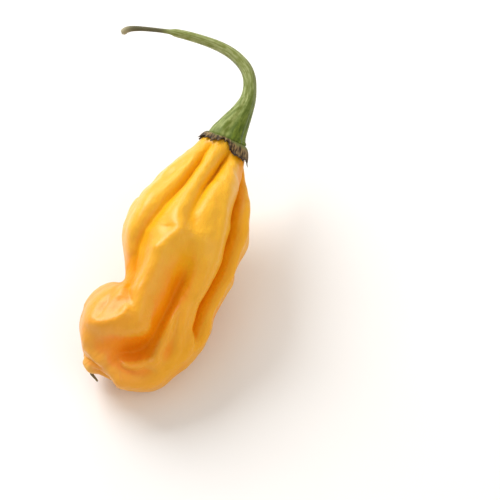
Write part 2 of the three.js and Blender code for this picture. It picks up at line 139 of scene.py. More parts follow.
# Long valley on the left, down to the waist, and the notch of the waist round the flank
LEFT_VALLEY = [
    crease((3.5, -32, -1, 1.2), (6.5, -29, -1.7, 1.3), (9.5, -26, -2.2, 1.4), (13, -25, -2.3, 1.5),
           (16.5, -25, -2.3, 1.6), (19.5, -26, -2.3, 1.7), (22.5, -27, -2, 1.8), (26, -29, -1.8, 2),
           (29.5, -32, -1.6, 2.1), (33, -37, -1.6, 2.1), (36.5, -43, -1.5, 2), (39.5, -49, -1.3, 1.8),
           (42, -53, -1.1, 1.5), (44.5, -54, -0.9, 1.3), (46.5, -51, -0.8, 1.2), (48.5, -44, -0.8, 1.1),
           (50.5, -34, -0.7, 1.1), (53, -21, -0.4, 1.1)),
    ridge((47.3, -130, -0.6, 2), (47.2, -110, -1, 1.8), (47.4, -92, -1.2, 1.7), (48.4, -72, -1, 1.6),
          (49.6, -58, -0.7, 1.4), (50.5, -48, -0.3, 1.3)),
]
# Short valley beside the tallest fold
SHORT_VALLEY = [
    crease((3, 21, -1.4, 1.3), (5.5, 15, -2.2, 1.4), (9.5, 9, -2.4, 1.5), (13.5, 4, -2.3, 1.6),
           (18, 0, -2, 1.7), (22, -1, -1.5, 1.8), (25.5, -2, -1.1, 2), (29, -3, -0.9, 2.2),
           (32, -2, -0.5, 2.4)),
]
# Long valley on the right
RIGHT_VALLEY = [
    crease((5.5, 86, -0.8, 1.2), (8.5, 79, -1.5, 1.4), (11.5, 67, -2.6, 1.7), (15, 57, -3.6, 1.8),
           (19, 49, -4.2, 1.9), (23, 46, -4.4, 1.9), (26, 48, -4.4, 1.9), (29.5, 50, -4.4, 1.9),
           (33, 52, -4.5, 1.9), (36, 54, -4.5, 2), (39.5, 55, -4.5, 2), (42.5, 55, -4.5, 2),
           (45.5, 55, -4.5, 2.2), (48, 54, -4.2, 2.2), (50, 54, -3.5, 1.8), (51.5, 57, -2, 1.5),
           (52.5, 59, -0.8, 1.3)),
]
# Deep middle valley, which turns to the blossom end, and its sloping banks
MIDDLE_VALLEY = [
    ridge((38, 16, -0.6, 2.2), (40, 16, -1.8, 2.5), (42.5, 17, -2.8, 2.6), (45, 18, -3, 2.6),
          (48, 19, -2.9, 2.6), (51, 19.5, -2.9, 2.7), (54, 21, -3.2, 2.9), (56.5, 24, -3.8, 3.2),
          (58.5, 27, -4.2, 3.6), (61, 27, -4.6, 3.8), (63, 22, -4.6, 3.8), (64.8, 15, -4, 3.4),
          (66.5, 10, -2.6, 2.6), (68, 10, -1.4, 1.8)),
    ridge((40, 14, -0.4, 4), (42.5, 14, -0.9, 4.2), (45.5, 15, -1.3, 4.4), (49, 15, -1.5, 4.4),
          (53, 15, -1.5, 4.4), (57, 13, -1.2, 4.4)),
    ridge((66, -12, -1.2, 3.4), (64.5, -4, -2, 3.8), (62.8, 4, -2.4, 4), (60.5, 10, -2.2, 3.8)),
]
# Lobe on the left, with a shallow dent
LEFT_LOBE = [
    ridge((6.5, -45, 0.5, 2.6), (11, -44, 1.1, 3), (15, -46, 1.4, 3), (19.5, -45, 1.3, 3.3),
          (25, -44, 1.8, 3.7), (30, -46, 2, 3.9), (33.5, -50, 1.9, 3.9), (37, -56, 1.6, 3.8),
          (40, -63, 1.1, 3.6), (43.5, -69, 0.5, 3.4)),
    ridge((7, -31, 0.6, 1.6), (12, -31, 1.1, 1.6), (16, -31, 1.1, 1.6), (19, -32, 0.9, 1.6),
          (21.5, -35, 0.4, 1.6)),
    ridge((12, -40, -0.4, 1.5), (15, -43, -0.9, 1.5), (18.5, -45, -1, 1.5), (23, -43, -0.6, 1.5),
          (27, -41, -0.2, 1.5)),
]
# Tallest lobe, with a sharp bend, and the cross ridge below the bend
TALL_LOBE = [
    ridge((5.5, -9, 1.2, 2), (9.5, -9, 1.5, 2), (13.5, -10, 1.5, 2.1), (18, -11, 1.5, 2.2),
          (21.5, -12, 1.6, 2.4), (25.5, -12, 1.9, 2.6), (29, -11, 2.5, 2.8), (32, -8, 3, 2.8),
          (34, -6, 3.1, 2.6), (37, -10, 2.8, 2.6), (40, -16, 2.5, 2.7), (43, -19, 2.4, 2.8),
          (46, -20, 2.4, 2.9), (49, -18, 2.5, 3), (51, -14, 2.6, 3.1), (53.5, -9, 2.6, 3.4),
          (55.5, -4, 2.4, 3.6), (57, 3, 1.8, 3.8)),
    ridge((29.5, -18, 0.8, 2.6), (33, -20, 1.1, 2.8), (36, -22, 1.2, 2.6), (39, -23, 1, 2.2)),
    ridge((34, -2, 0.9, 2.6), (33, 9, 0.7, 2.8), (32, 20, 0.5, 2.8), (31, 27, 0.3, 2.8)),
]
# Lobe right of the middle and its edge
RIGHT_LOBE = [
    ridge((7, 36, 1, 1.8), (11.5, 26, 1.4, 2.2), (16, 18, 1.6, 2.6), (20.5, 13, 1.8, 3), (24, 11, 1.9, 3.4),
          (27.5, 12, 2, 3.8), (30, 16, 1.9, 4), (33.5, 20, 1.7, 4), (37, 24, 1.3, 3.8),
          (40, 28, 0.9, 3.6), (43, 31, 0.5, 3.2)),
    ridge((12.5, 34, 0.6, 1.8), (17.5, 27, 1, 1.8), (22, 25, 1.1, 1.8), (26, 27, 1.1, 1.8), (30, 30, 1, 1.8),
          (33.5, 32, 0.9, 1.8), (37.5, 34, 0.8, 1.8), (41, 36, 0.6, 1.8), (44, 36, 0.4, 1.8)),
]
# Lobe on the right flank
FLANK_LOBE = [
    ridge((7.5, 90, 0.8, 2.4), (12.5, 74, 1.2, 2.4), (17.5, 62, 1.8, 2.4), (22, 57, 1.9, 2.4),
          (26, 57, 2, 2.4), (30, 58, 2.2, 2.4), (33.5, 59, 2.2, 2.4), (37, 61, 2.2, 2.4), (41, 62, 2.1, 2.4),
          (44, 63, 2, 2.4), (47, 63, 1.9, 2.4), (50, 63, 1.8, 2.4), (52, 63, 1.2, 2.4)),
]
# Lower right lobe: its sharp left edge and shallow wrinkles
LOWER_RIGHT_LOBE = [
    ridge((45.5, 24, 0.6, 1.3), (47.5, 23.5, 1.6, 1.3), (50, 23, 2.4, 1.4), (52, 23.5, 2.9, 1.5),
          (54, 25, 3.1, 1.6), (56.5, 28, 3.1, 1.7), (58.5, 32, 3, 1.8), (60, 36, 2.4, 1.9),
          (61, 41, 1.4, 2)),
    ridge((48.5, 25, -0.4, 1.4), (51, 30, -0.6, 1.4), (53.5, 36, -0.7, 1.4), (56, 41, -0.5, 1.4),
          (58, 47, -0.3, 1.4)),
    ridge((48.5, 29, 0.6, 1.5), (51, 34, 0.9, 1.5), (54, 40, 0.9, 1.5), (56.5, 47, 0.6, 1.5),
          (59, 52, 0.4, 1.5)),
    ridge((50, 38, -0.3, 1.3), (52.5, 43, -0.6, 1.3), (54.5, 49, -0.5, 1.3), (57, 54, -0.3, 1.3)),
    ridge((52.5, 49, 0.9, 1.6), (54, 52, 1.1, 1.8), (56, 58, 0.8, 2)),
]
# Ledge below the middle valley, the groove under it and the bulge below
LEDGE = [
    ridge((65.8, 14, 1.2, 1.2), (65.2, 21, 2.6, 1.3), (64, 27, 3.1, 1.4), (62.6, 31, 3, 1.4),
          (61.5, 35, 2, 1.4), (60.3, 37, 0.8, 1.3)),
    ridge((67, 22, -0.4, 1.6), (65.5, 33, -0.6, 1.8), (64.5, 41, -0.8, 1.8), (63, 45, -0.7, 1.8),
          (61, 45, -0.4, 1.6)),
    ridge((67.8, 34, 1, 2.4), (66.5, 42, 1.4, 2.8), (64.5, 50, 1.2, 3.2), (62.5, 55, 1, 3.2),
          (60, 58, 0.6, 3)),
    ridge((68.4, 36, 0.7, 1.6), (68.9, 48, 1, 1.7), (68.8, 60, 0.6, 1.6), (68.4, 70, 0.2, 1.5)),
]
# Lower left lobe: its ridges, a faint groove and the bank over the middle valley
LOWER_LEFT_LOBE = [
    ridge((52, -48, 0.6, 2.4), (55, -46, 1.1, 3), (58, -47, 1.5, 3.4), (61, -48, 1.7, 3.6),
          (63, -46, 1.7, 3.6), (65.5, -41, 1.4, 3.6), (67.5, -33, 1, 3.4)),
    ridge((53, -37, 0.4, 1.8), (55, -34, 0.9, 2.2), (58, -32, 1.1, 2.4), (61, -35, 0.9, 2.4),
          (63.5, -42, 0.5, 2.2)),
    ridge((51.5, -47, -0.05, 0.9), (53.5, -44, -0.15, 1), (56.7, -38.5, -0.2, 1), (59.9, -35, -0.2, 1),
          (62.3, -34, -0.1, 0.9)),
    ridge((52, -31, 0.6, 2), (55.5, -24, 0.9, 2.2), (57.5, -21, 1.1, 2.4), (59.5, -22, 1, 2.6),
          (62, -26, 0.8, 2.6)),
    ridge((50.5, -43, 0.3, 1.2), (52, -38, 0.5, 1.3), (53.5, -33, 0.3, 1.3)),
    ridge((56, -16, 1, 1.5), (58, -15, 1.5, 1.7), (60, -19, 1.5, 1.9), (61.8, -25, 1.2, 2),
          (63.2, -34, 0.9, 2)),
    ridge((56.5, 6, 0.8, 2.4), (58.5, -1, 1.1, 2.4), (60.5, -9, 1.2, 2.4), (62, -17, 1.1, 2.6),
          (64, -25, 0.9, 2.6), (67, -30, 0.6, 2.6)),
]
# Lips round the blossom end
BLOSSOM_END = [
    ridge((69.5, -30, 0.5, 1.3), (69, -17, 0.7, 1.3), (69, -5, 0.8, 1.3), (68.5, 6, 0.7, 1.3),
          (68.5, 19, 0.5, 1.3)),
    ridge((71.1, 12, -0.6, 1.2), (70.6, 28, -1, 1.4), (70.2, 40, -0.8, 1.4)),
    ridge((72.5, -54, -0.6, 0.8), (71.2, -25, -0.7, 0.8), (70.3, -5, -0.7, 0.8), (70, 10, -0.5, 0.8)),
    ridge((72.3, -20, 1, 1.6), (72, 0, 1, 1.6)),
]
# Valleys on the underside, between the lobes it rests on, and on the flanks
UNDERSIDE = [
    crease((3, -128, -1.6, 1.8), (12, -130, -2.9, 2.2), (24, -128, -3.4, 2.6), (36, -133, -3.4, 2.8),
           (48, -128, -3.4, 3), (60, -132, -2.6, 3), (68, -120, -1.3, 2.6)),
    crease((3, 128, -1.6, 1.8), (14, 122, -2.9, 2.2), (28, 128, -3.6, 2.6), (42, 120, -3.4, 2.8),
           (55, 126, -3.1, 3), (66, 120, -1.6, 2.6)),
    crease((3, 170, -1.3, 1.8), (12, 165, -2.3, 2), (22, 168, -1.6, 2.4), (29, 162, -0.5, 2.4)),
    crease((58, 176, -1, 2), (63, 170, -2, 2.2), (68, 165, -1.4, 1.8)),
    crease((30, 100, -0.6, 1.8), (33, 86, -1.4, 1.8), (35, 76, -0.8, 1.6)),
    crease((20, -100, -0.6, 1.8), (24, -84, -1.2, 1.8), (27, -72, -0.6, 1.6)),
]
FOLDS = (LEFT_VALLEY + SHORT_VALLEY + RIGHT_VALLEY + MIDDLE_VALLEY + LEFT_LOBE + TALL_LOBE + RIGHT_LOBE
         + FLANK_LOBE + LOWER_RIGHT_LOBE + LEDGE + LOWER_LEFT_LOBE + BLOSSOM_END + UNDERSIDE)

# Stem, from the cup on the collar to the dry end: right, up, out, radius
STEM_LINE = [
    (16.38, 40.75, -11.3, 0), (16.4, 40.8, -11.3, 5.2), (16.5, 41.05, -11.3, 5.4),
    (16.9, 42.0, -11.35, 5.05), (17.75, 43.5, -11.5, 4.4), (18.9, 45.4, -11.9, 3.8),
    (20.1, 47.4, -12.5, 3.15), (21.3, 49.7, -13.3, 2.55), (22.2, 52.0, -14.2, 2.1),
    (22.6, 54.6, -15.2, 1.82), (22.5, 57.5, -16.2, 1.72), (21.6, 60.2, -17.0, 1.66),
    (19.7, 62.7, -17.7, 1.58), (17.0, 64.9, -18.2, 1.5), (13.6, 66.7, -18.5, 1.4),
    (9.5, 68.2, -18.5, 1.3), (5.7, 69.3, -18.3, 1.24), (2.3, 70.1, -18.1, 1.08), (0.6, 70.4, -18.0, 0.68),
    (-4.6, 71.0, -17.6, 0.62), (-8.6, 71.2, -17.2, 0.74), (-10.8, 70.9, -16.9, 0.86),
    (-12.0, 70.1, -16.7, 0.82), (-12.3, 69.6, -16.65, 0),
]

# Edge of the dry collar: degrees round from the front, distance down the pod
COLLAR_EDGE = [
    (-180, 3.4), (-160, 4.2), (-140, 3.0), (-115, 3.2), (-95, 2.4), (-84, 2.9), (-70, 2.1), (-45, 2.0),
    (-28, 2.1), (-10, 1.2), (4, 1.1), (14, 2.0), (30, 3.4), (48, 4.2), (62, 4.0), (78, 4.8), (92, 3.6),
    (120, 3.2), (140, 4.1), (160, 3.1), (180, 3.4),
]

# Dry thread at the blossom end: right, up, out, radius
STYLE_LINE = [
    (-19.8, -21.9, 0.7, 0), (-19.7, -22.0, 0.7, 0.42), (-19.1, -22.9, 0.6, 0.36),
    (-18.5, -23.6, 0.5, 0.3), (-18.0, -24.3, 0.5, 0.22), (-17.95, -24.4, 0.5, 0),
]

# Colours in linear red, green and blue: the skin, the stalk, the dry collar, the dry thread and the floor
SKIN = {
    # painted_shade_right is painted shade: a deeper orange for the right flank, which is turned away from
    # the key light
    "yellow": (0.83, 0.41, 0.008), "orange": (0.88, 0.255, 0.002), "painted_shade_right": (0.82, 0.31, 0.001),
    # crest is a painted highlight: a paler cream colour laid on the sharp crests
    "crest": (0.8, 0.425, 0.024), "painted_shade_lower_left": (0.72, 0.3, 0.006), "blossom_end": (0.86, 0.36, 0.06),
    # valley and hollow are painted shade: deeper oranges laid in the sunken folds
    "nub": (0.78, 0.43, 0.06), "valley": (0.8, 0.24, 0.001), "hollow": (0.74, 0.19, 0.001),
}
STALK = {
    # dark_shaded and light_shaded are painted shade for the side of the stalk that is turned from the light
    "dark": (0.11, 0.15, 0.015), "dark_shaded": (0.045, 0.085, 0.001), "dark_upper_lit": (0.18, 0.21, 0.045),
    # dark_upper_lit and light_upper_lit are painted light: paler, greyer greens for the lit upper stalk
    "light": (0.32, 0.37, 0.12), "light_shaded": (0.17, 0.23, 0.02), "light_upper_lit": (0.4, 0.44, 0.21),
    "dry_dark": (0.07, 0.066, 0.028), "dry_light": (0.16, 0.15, 0.08), "dry_tip": (0.36, 0.32, 0.19),
}
RIM = {
    "green_dark": (0.06, 0.08, 0.01), "green_light": (0.22, 0.24, 0.06),
    "brown_dark": (0.04, 0.022, 0.008), "brown_light": (0.3, 0.2, 0.08), "edge": (0.025, 0.013, 0.006),
}
THREAD = {"dark": (0.07, 0.05, 0.02), "light": (0.32, 0.26, 0.12)}
SHEET = {"dark": (0.86, 0.86, 0.86), "light": (0.88, 0.88, 0.88)}
NOISE_ROUGHNESS = 0.55

# The photograph's frame, in the drawing plane: millimetres for a pixel, and its middle
PIXEL = 0.267
FRAME_PIXELS = 500
VIEW_MIDDLE = (22.7, 10.7)
LENS, SENSOR = 200.0, 36.0
ELEVATION = math.pi / 2 - LEAN
FARTHEST = 10.0                        # metres that the camera sees

# Studio, in metres and watts: each light's name, place, power and tint, and the floor
LIGHTS = [
    ("key", (-0.43, 0.46, 0.5), 5.4, (1.0, 1.0, 1.0)),
    ("back", (-0.08, 0.75, 0.38), 1.5, (1.0, 1.0, 1.0)),
    ("fill", (0.42, -0.25, 0.42), 1.1, (1.0, 0.8, 0.55)),
]
LIGHT_SIZE = 0.5
LIGHT_TARGET = (0.0, 0.01, 0.01)
WORLD_LIGHT = 0.6
WORLD_TINT = (1.0, 0.99, 0.98)
FLOOR_SIZE = 4.0
FLOOR_DROP = 0.0002                    # the floor lies this far under the pod's flat spot
FLOOR_GRID = 8


# Curves and surfaces
def along(rows, places):
    """Values of a smooth curve through rows of (place, value, value, ...)."""
    rows = np.asarray(rows, float)
    places = np.asarray(places, float)
    knots, values = rows[:, 0], rows[:, 1:]
    last = len(rows) - 1
    i = np.clip(np.searchsorted(knots, places) - 1, 0, last - 1)
    before, after = np.maximum(i - 1, 0), np.minimum(i + 2, last)
    span = (knots[i + 1] - knots[i])[..., None]
    t = np.clip((places - knots[i])[..., None] / span, 0, 1)
    slope_0 = (values[i + 1] - values[before]) / (knots[i + 1] - knots[before])[..., None]
    slope_1 = (values[after] - values[i]) / (knots[after] - knots[i])[..., None]
    return ((2 * t**3 - 3 * t**2 + 1) * values[i] + (t**3 - 2 * t**2 + t) * span * slope_0
            + (3 * t**2 - 2 * t**3) * values[i + 1] + (t**3 - t**2) * span * slope_1)


def measured(rows, dimensions, length=None):
    """Rows of points with the distance along them put in front, up to a given length."""
    rows = np.asarray(rows, float)
    steps = np.linalg.norm(np.diff(rows[:, :dimensions], axis=0), axis=1)
    places = np.concatenate([[0], np.cumsum(steps)])
    if length:
        places *= length / places[-1]
    return np.column_stack([places, rows])


def unit(vectors):
    """Vectors of the same directions and of length one."""
    return vectors / (np.linalg.norm(vectors, axis=-1, keepdims=True) + TINY)


def smoothstep(values, low, high):
    """Nought below low, one above high, smooth between."""
    t = np.clip((values - low) / (high - low), 0, 1)
    return t * t * (3 - 2 * t)


MIDDLE = measured(MIDDLE_LINE, 2, POD_LENGTH)
SQUARED_WIDTHS = np.column_stack([np.asarray(HALF_WIDTHS)[:, :1], np.asarray(HALF_WIDTHS)[:, 1:] ** 2])
FACING = np.array([0.0, 0.0, 1.0])


def middle(place):
    """Points of the pod's middle line."""
    return along(MIDDLE, np.clip(place, 0, POD_LENGTH))


def smooth_skin(place, round_):
    """Points of the smooth pod, before its folds."""
    left, right, front, under = np.moveaxis(np.sqrt(np.maximum(along(SQUARED_WIDTHS, place), 0)), -1, 0)
    tangent = unit(middle(place + POD_STEP) - middle(place - POD_STEP))
    side = unit(np.cross(FACING, tangent))
    side = np.where(side[..., :1] < 0, -side, side)
    out = unit(np.cross(side, tangent))
    out = np.where(out[..., 2:] < 0, -out, out)
    across, deep = np.sin(round_), np.cos(round_)
    return (middle(place) + side * (across * np.where(across < 0, left, right))[..., None]
            + out * (deep * np.where(deep > 0, front, under))[..., None])


def skin_normal(place, round_):
    """Outward directions square to the smooth pod."""
    near = np.clip(place, SKIN_MARGIN, POD_LENGTH - SKIN_MARGIN)
    down = smooth_skin(near + SKIN_STEP, round_) - smooth_skin(near - SKIN_STEP, round_)
    across = smooth_skin(near, round_ + SKIN_STEP) - smooth_skin(near, round_ - SKIN_STEP)
    normal = unit(np.cross(down, across))
    outward = smooth_skin(near, round_) - middle(near)
    return np.where((normal * outward).sum(-1, keepdims=True) < 0, -normal, normal)


def fold_line(fold):
    """A fold's line, smoothed and laid on the skin: rows of point, height and half width."""
    path = np.asarray(fold["path"], float)
    rows = np.column_stack([np.arange(len(path)), path])
    steps = np.linspace(0, len(path) - 1, LINE_STEPS * (len(path) - 1) + 1)
    place, degrees, height, width = along(rows, steps).T
    return np.column_stack([smooth_skin(place, np.radians(degrees)), height, width])


def nearest_on_line(line, points):
    """For each point: how far the line is, the nearest place on it, and its height and width there."""
    distance = np.full(len(points), np.inf)
    found = np.zeros((len(points), 5))
    for a, b in zip(line[:-1], line[1:]):
        run = b[:3] - a[:3]
        t = np.clip((points - a[:3]) @ run / (run @ run), 0, 1)[:, None]
        here = a + t * (b - a)
        gap = np.linalg.norm(points - here[:, :3], axis=1)
        closer = gap < distance
        distance[closer] = gap[closer]
        found[closer] = here[closer]
    return distance, found[:, :3], found[:, 3], found[:, 4]


def folded(place, round_, raised):
    """Points of the folded pod, raised above its skin by a given amount."""
    shape = place.shape
    place, round_ = place.ravel(), round_.ravel()
    base, normal = smooth_skin(place, round_), skin_normal(place, round_)
    points, height = base.copy(), np.zeros(len(base))
    for fold in FOLDS:
        line = fold_line(fold)
        reach = FOLD_REACH * line[:, 4].max()
        inside = ((base > line[:, :3].min(0) - reach) & (base < line[:, :3].max(0) + reach)).all(1)
        if not inside.any():
            continue
        distance, foot, lift, width = nearest_on_line(line, base[inside])
        height[inside] += lift * np.exp(-((distance / width) ** fold["sharpness"]))
        if fold["pinch"]:
            away = base[inside] - foot
            away -= (away * normal[inside]).sum(1, keepdims=True) * normal[inside]
            pull = np.exp(-((distance / (PINCH_REACH * width)) ** 2))
            pull *= np.minimum(np.abs(lift) / FULL_PINCH, 1)
            points[inside] -= fold["pinch"] * pull[:, None] * away
    # The top under the collar stays plain
    plain = smoothstep(place, 0, PLAIN_TOP)[:, None]
    points = base + plain * (points - base + normal * height[:, None])
    return (points + normal * raised.ravel()[:, None]).reshape(*shape, 3)


def laid(points):
    """From the drawing plane to the table, with the origin at the flat spot, in metres."""
    right, up, out = np.moveaxis(points, -1, 0)
    back = up * math.cos(LEAN) - out * math.sin(LEAN)
    high = up * math.sin(LEAN) + out * math.cos(LEAN)
    on_table = np.stack([right, back, high], -1) - REST
    on_table[..., 2] = np.maximum(on_table[..., 2], 0)
    return on_table * MM


# Meshes
def grid(places, columns):
    """The places down a piece, each at angles all the way round it."""
    angles = np.linspace(-math.pi, math.pi, columns, endpoint=False)
    return np.meshgrid(places, angles, indexing="ij")


def directions(down, round_):
    """Marks that tell a finish how far down and on which side of its piece a point is."""
    return {"down": down, "across": np.sin(round_), "front": np.cos(round_)}


def blurred(values, steps):
    """Values on the pod's grid, averaged with their neighbours at each of the steps."""
    for step in steps:
        rows = np.pad(values, ((step, step), (0, 0), (0, 0)), mode="edge")
        values = (rows[2 * step:] + rows[:-2 * step] + 2 * values) / 4
        values = (np.roll(values, step, 1) + np.roll(values, -step, 1) + 2 * values) / 4
    return values


def small_dents(points):
    """Shallow unevenness of the skin: waves of a few millimetres in every direction."""
    chance = np.random.default_rng(DENT_SEED)
    height = np.zeros(points.shape[:-1])
    for _ in range(DENT_WAVES):
        direction = unit(chance.normal(size=3))
        length = chance.uniform(*DENT_LENGTHS)
        height += np.sin(points @ direction * 2 * math.pi / length + chance.uniform(0, 2 * math.pi))
    return DENT_HEIGHT * height / math.sqrt(DENT_WAVES)


def closed_mesh(name, points, marks, ends=True):
    """A mesh over a grid of points that closes round its columns, and over its ends or its rows."""
    rows, columns = points.shape[:2]
    index = np.arange(rows * columns).reshape(rows, columns)
    if not ends:
        index = np.vstack([index, index[:1]])
    upper, lower = index[:-1], index[1:]
    quads = np.stack([upper, np.roll(upper, -1, 1), np.roll(lower, -1, 1), lower], -1).reshape(-1, 4)
    faces = quads.tolist()
    if ends:
        faces += [index[0, ::-1].tolist(), index[-1].tolist()]
    mesh = bpy.data.meshes.new(name)
    mesh.from_pydata(points.reshape(-1, 3).tolist(), [], faces)
    for mark, values in marks.items():
        attribute = mesh.attributes.new(mark, "FLOAT", "POINT")
        attribute.data.foreach_set("value", np.asarray(values, np.float32).ravel())
    mesh.polygons.foreach_set("use_smooth", [True] * len(mesh.polygons))
    piece = bpy.data.objects.new(name, mesh)
    bpy.context.scene.collection.objects.link(piece)
    return piece


def dress(piece, node, material):
    """Puts a piece in place of its CAD node, with its finish."""
    piece.data.materials.append(material)
    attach(piece, "root")
    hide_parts(node)


def pod():
    turn = 2 * math.pi
    fraction = np.linspace(POD_END, 1 - POD_END, POD_GRID[0])
    place = POD_LENGTH * (fraction - CROWDING * np.sin(turn * fraction) / turn)
    place, round_ = grid(place, POD_GRID[1])
    dents = small_dents(smooth_skin(place, round_))
    points = folded(place, round_, dents * smoothstep(place, PLAIN_TOP, 3 * PLAIN_TOP))
    outward = skin_normal(place, round_)
    # The hollow mark steers painted shade in the lower hollows; the crest mark steers the painted highlight
    # on the crests, the painted shade in the valleys and the gloss.
    sunk = ((blurred(points, HOLLOW_STEPS) - points) * outward).sum(-1, keepdims=True)
    marks = {"hollow": blurred(sunk, SOFT_STEPS), "crest": -sunk}
    return closed_mesh("pod_skin", laid(points), marks | directions(place / POD_LENGTH, round_))


def rod(name, line, size, ripple):
    """A solid rod along rows of right, up, out and radius."""
    line = measured(line, 4)
    length = line[-1, 0]
    place, round_ = grid(np.linspace(ROD_END, 1 - ROD_END, size[0]) * length, size[1])
    # Both flat ends are square to the line where they start
    near = np.clip(place, line[1, 0], line[-2, 0])
    tangent = unit(along(line, near + ROD_STEP)[..., :3] - along(line, near - ROD_STEP)[..., :3])
    side = unit(np.cross(FACING, tangent))
    out = unit(np.cross(side, tangent))
    centre = along(line, place)
    swell = (np.maximum(centre[..., 3], 0) * ripple(place / length, round_))[..., None]
    points = centre[..., :3] + swell * (side * np.sin(round_)[..., None] + out * np.cos(round_)[..., None])
    return closed_mesh(name, laid(points), directions(place / length, round_))


def stem():
    def ripple(down, round_):
        ribs = STEM_RIBS["height"] * np.cos(STEM_RIBS["count"] * round_ + STEM_RIBS["start"])
        twisted = STEM_GROOVES["count"] * round_ + STEM_GROOVES["twist"] * down
        grooves = STEM_GROOVES["height"] * np.cos(twisted)
        return 1 + (ribs + grooves) * (RIB_FADE - down)
    return rod("stem_stalk", STEM_LINE, STEM_GRID, ripple)


def style():
    def ripple(down, round_):
        return 1 + STYLE_RIBS["height"] * np.cos(STYLE_RIBS["count"] * round_)
    return rod("style_thread", STYLE_LINE, STYLE_GRID, ripple)


def ragged(round_, count, sway, sways):
    """Uneven points round an edge: one at the tips, nought between them."""
    return (1 - np.abs(np.sin(count * round_ + sway * np.sin(sways * round_)))) ** TOOTH_POWER


def collar():
    turn = np.linspace(0, 2 * math.pi, COLLAR_GRID[0], endpoint=False)
    turn, round_ = grid(turn, COLLAR_GRID[1])
    edge = along(COLLAR_EDGE, np.degrees(round_))[..., 0]
    tooth, nick = ragged(round_, **COLLAR_TEETH), ragged(round_, **COLLAR_NICKS)
    tip = COLLAR_TOOTH * (tooth - TOOTH_BASE + NICK_SHARE * (nick - NICK_BASE))
    outwards = (1 + np.cos(turn)) / 2
    place = COLLAR_ROOT + (edge + tip - COLLAR_ROOT) * outwards
    thickness = COLLAR_THICKNESS * (1 - COLLAR_THINNING * outwards ** 2)
    curl = COLLAR_CURL * (tooth + edge / COLLAR_LONGEST) * outwards ** CURL_POWER
    raised = COLLAR_GAP + thickness * (1 + np.sin(turn)) / 2 + curl + COLLAR_SEAT * (1 - outwards) ** 2
    points = folded(place, round_, raised)
    return closed_mesh("calyx_dry_rim", laid(points), directions(outwards, round_), ends=False)


# Materials
class Value:
    """A socket that holds a number or a colour; arithmetic on numbers adds Math nodes."""

    def __init__(self, finish, socket):
        self.finish = finish
        self.socket = socket

    def math(self, operation, first, second):
        return self.finish.node("ShaderNodeMath", {"operation": operation}, {0: first, 1: second})

    def __add__(self, other):
        return self.math("ADD", self, other)

    def __sub__(self, other):
        return self.math("SUBTRACT", self, other)

    def __rsub__(self, other):
        return self.math("SUBTRACT", other, self)

    def __mul__(self, other):
        return self.math("MULTIPLY", self, other)

    __radd__ = __add__
    __rmul__ = __mul__


class Finish:
    """One material, with short ways to add nodes to it."""

    def __init__(self, name, **constants):
        self.material = bpy.data.materials.new(name)
        self.material.use_nodes = True
        self.tree = self.material.node_tree
        for socket, value in constants.items():
            self.shader_socket(socket).default_value = value

    def shader_socket(self, name):
        """The shader's socket for a name such as coat_weight."""
        shader = self.tree.nodes["Principled BSDF"]
        return shader.inputs[name.replace("_", " ").title().replace("Ior", "IOR")]

    def feed(self, socket, value):
        if isinstance(value, Value):
            self.tree.links.new(value.socket, socket)
        else:
            socket.default_value = value

    def node(self, kind, settings=None, sockets=None, output=0):
        """A new node: its settings first, then a value or a link for each socket."""
        node = self.tree.nodes.new(kind)
        for key, value in (settings or {}).items():
            setattr(node, key, value)
        for key, value in (sockets or {}).items():
            self.feed(node.inputs[key], value)
        return Value(self, node.outputs[output])

    def mark(self, name):
        """A number that the mesh carries at each vertex."""
        return self.node("ShaderNodeAttribute", {"attribute_name": name}, output="Fac")

    def place(self):
        """Where a point lies in the frame, in metres."""
        return self.node("ShaderNodeTexCoord", output="Object")

    def vector(self, x, y, z):
        return self.node("ShaderNodeCombineXYZ", None, {0: x, 1: y, 2: z})

    def noise(self, vector, scale, detail=3.0):
        sockets = {"Vector": vector, "Scale": scale, "Detail": detail, "Roughness": NOISE_ROUGHNESS}
        return self.node("ShaderNodeTexNoise", {"noise_dimensions": "3D"}, sockets)

    def steps(self, value, low, high):
        """Nought up to low, one from high on, smooth between; low may be the larger number."""
        settings = {"interpolation_type": "SMOOTHSTEP"}
        return self.node("ShaderNodeMapRange", settings, {0: value, 1: low, 2: high, 3: 0.0, 4: 1.0})

    def mix(self, factor, first, second):
        """A colour between two others. Each is a colour in a socket, or red, green and blue."""
        # Sockets 6 and 7 and output 2 of the node are the ones for colours
        first, second = [value if isinstance(value, Value) else (*value, 1.0) for value in (first, second)]
        return self.node("ShaderNodeMix", {"data_type": "RGBA"}, {0: factor, 6: first, 7: second}, output=2)

    def bump(self, height, strength, distance):
        sockets = {"Height": height, "Strength": strength, "Distance": distance}
        return self.node("ShaderNodeBump", None, sockets)

    def finished(self, **values):
        """The material, with these values fed to its shader."""
        for socket, value in values.items():
            self.feed(self.shader_socket(socket), value)
        return self.material


